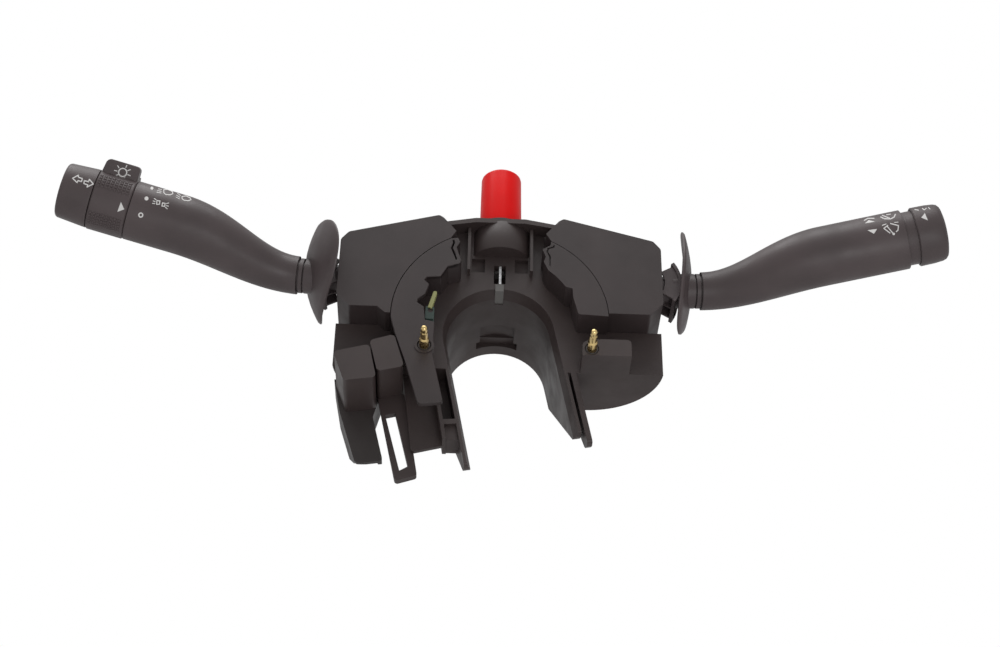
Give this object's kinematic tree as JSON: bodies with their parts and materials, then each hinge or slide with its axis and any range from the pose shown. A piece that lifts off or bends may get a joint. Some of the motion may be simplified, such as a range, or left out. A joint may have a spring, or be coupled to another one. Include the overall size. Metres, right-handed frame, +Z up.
{
  "type": "combination stalk switch",
  "caption": "Steering-column combination switch: U-shaped saddle, indicator and wiper stalks with shields, sprung hazard button and horn contact pins.",
  "frame": {"origin": "on the steering column's axis, where the bore's straight wall begins behind its tapered front rim", "axes": "+X to the driver's right, +Y along the column away from the driver, +Z up, through the hazard button"},
  "size_m": [0.4198, 0.102, 0.1738],
  "materials": {
    "housing_plastic": "fine satin texture",
    "module_plastic": "fine satin texture",
    "stalk_plastic": "satin",
    "grip_plastic": "satin",
    "inner_plastic": "matt",
    "plug_plastic": "matt",
    "hazard_red": "gloss",
    "contact_brass": "bright",
    "spring_steel": "bright wire",
    "screw_steel": "zinc plated",
    "pawl_plastic": "matt"
  },
  "bodies": {
    "housing": {"base_housing": "housing_plastic", "lock_tongue": "inner_plastic", "hazard_latch_strip": "spring_steel", "harness_latch": "housing_plastic", "case_screws": "screw_steel", "hazard_spring": "spring_steel", "left_module_case": "module_plastic", "left_module_cover": "module_plastic", "left_sector_plate": "module_plastic", "left_horn_sleeve": "plug_plastic", "left_horn_spring": "spring_steel", "left_contact_strips": "contact_brass", "left_connector_shell": "plug_plastic", "left_terminals": "contact_brass", "right_module_case": "module_plastic", "right_module_cover": "module_plastic", "right_sector_plate": "module_plastic", "right_horn_sleeve": "plug_plastic", "right_horn_spring": "spring_steel", "right_contact_strips": "contact_brass", "right_connector_shell": "plug_plastic", "right_terminals": "contact_brass"},
    "left_carrier": {"left_yoke": "inner_plastic", "left_rock_pin": "screw_steel", "left_detent_plunger": "inner_plastic"},
    "left_stalk": {"left_stalk_root": "stalk_plastic", "left_shield": "stalk_plastic", "left_stalk_arm": "stalk_plastic", "left_end_cap": "grip_plastic"},
    "left_horn_contact": {"left_horn_pin": "contact_brass"},
    "left_slider": {"left_contact_slider": "inner_plastic"},
    "right_carrier": {"right_yoke": "inner_plastic", "right_rock_pin": "screw_steel", "right_detent_plunger": "inner_plastic"},
    "right_stalk": {"right_stalk_root": "stalk_plastic", "right_shield": "stalk_plastic", "right_stalk_arm": "stalk_plastic"},
    "right_horn_contact": {"right_horn_pin": "contact_brass"},
    "right_slider": {"right_contact_slider": "inner_plastic"},
    "lamp_ring": {"headlamp_ring": "grip_plastic"},
    "wash_push": {"rear_wash_button": "grip_plastic"},
    "hazard_push": {"hazard_button": "hazard_red", "hazard_plunger": "inner_plastic"},
    "pawl": {"cancel_pawl": "pawl_plastic", "cancel_pawl_carrier": "pawl_plastic"}
  },
  "joints": [
    {"name": "left_turn", "type": "hinge", "parent": "housing", "child": "left_carrier", "pos_m": [-0.066, -0.0074, 0.027], "axis": [0, 1, 0], "range_deg": [-12, 12]},
    {"name": "right_wipe", "type": "hinge", "parent": "housing", "child": "right_carrier", "pos_m": [0.066, -0.0074, 0.027], "axis": [0, -1, 0], "range_deg": [-8, 16]},
    {"name": "left_flash", "type": "hinge", "parent": "left_carrier", "child": "left_stalk", "pos_m": [-0.066, -0.0074, 0.027], "axis": [0.0941, 0, 0.9956], "range_deg": [0, 6], "stiffness_Nm_per_rad": 1.5, "springref_deg": -2.86},
    {"name": "right_wash", "type": "hinge", "parent": "right_carrier", "child": "right_stalk", "pos_m": [0.066, -0.0074, 0.027], "axis": [0.0419, 0, -0.9991], "range_deg": [0, 7], "stiffness_Nm_per_rad": 1.5, "springref_deg": -2.86},
    {"name": "lamp_switch", "type": "hinge", "parent": "left_stalk", "child": "lamp_ring", "pos_m": [-0.151, -0.0308, 0.04], "axis": [-0.964, -0.2137, 0.1582], "range_deg": [-50, 0]},
    {"name": "rear_wash_press", "type": "slide", "parent": "right_stalk", "child": "wash_push", "axis": [-0.9675, 0.2145, -0.134], "range_m": [0, 0.003], "stiffness_N_per_m": 800, "springref_m": -0.002},
    {"name": "hazard_press", "type": "slide", "parent": "housing", "child": "hazard_push", "axis": [0, 0, -1], "range_m": [0, 0.0045], "stiffness_N_per_m": 700, "springref_m": -0.002, "deforming": ["hazard_spring"]},
    {"name": "left_horn_press", "type": "slide", "parent": "housing", "child": "left_horn_contact", "axis": [0, 1, 0], "range_m": [0, 0.003], "stiffness_N_per_m": 400, "springref_m": -0.002, "deforming": ["left_horn_spring"]},
    {"name": "left_contact_slide", "type": "slide", "parent": "housing", "child": "left_slider", "axis": [0, 0, 1], "range_m": [-0.0024, 0.0024]},
    {"name": "right_horn_press", "type": "slide", "parent": "housing", "child": "right_horn_contact", "axis": [0, 1, 0], "range_m": [0, 0.003], "stiffness_N_per_m": 400, "springref_m": -0.002, "deforming": ["right_horn_spring"]},
    {"name": "right_contact_slide", "type": "slide", "parent": "housing", "child": "right_slider", "axis": [0, 0, 1], "range_m": [-0.0032, 0.0017]},
    {"name": "pawl_swing", "type": "hinge", "parent": "housing", "child": "pawl", "pos_m": [-0.0322, -0.0114, 0.0042], "axis": [0, 1, 0], "range_deg": [-6, 6], "stiffness_Nm_per_rad": 0.02}
  ],
  "couplings": [
    {"joint": "left_contact_slide", "follows": "left_turn", "m_per_rad": -0.011},
    {"joint": "right_contact_slide", "follows": "right_wipe", "m_per_rad": -0.011}
  ]
}
